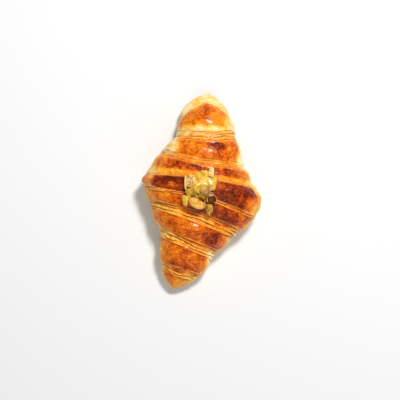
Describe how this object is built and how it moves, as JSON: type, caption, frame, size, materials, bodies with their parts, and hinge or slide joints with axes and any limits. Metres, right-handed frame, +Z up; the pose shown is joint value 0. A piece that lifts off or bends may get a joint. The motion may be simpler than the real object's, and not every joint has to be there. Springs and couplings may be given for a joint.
{
  "type": "croissant with pistachio cream",
  "caption": "Baked croissant, a straight pointed roll with stepped flaky bands, topped on its crest with a dollop of pistachio cream and cracked pistachio kernels.",
  "frame": {"origin": "on the flat base, at the middle of the croissant's length and width", "axes": "+X along the croissant from its back tip to its front tip, +Y to the right side, +Z up"},
  "size_m": [0.165, 0.0993, 0.0685],
  "materials": {
    "baked_pastry": "egg-washed baked crust, orange-brown with paler layer edges, softly glossy",
    "pistachio_cream": "glossy yellow-green cream",
    "pistachio_cut_face": "pale cracked nut",
    "pistachio_green": "yellow-green nut",
    "pistachio_skin": "nut with brown-purple papery skin"
  },
  "bodies": {
    "root": {"croissant": "baked_pastry", "pistachio_cream": "pistachio_cream", "pistachio_half_front": "pistachio_cut_face", "pistachio_kernel_middle": "pistachio_skin", "pistachio_chunk_left": "pistachio_cut_face", "pistachio_chunk_front_left": "pistachio_green", "pistachio_sliver_back_right": "pistachio_green", "pistachio_sliver_back": "pistachio_green", "pistachio_hollow_right": "pistachio_skin", "pistachio_chunk_front_right": "pistachio_skin"}
  },
  "joints": []
}
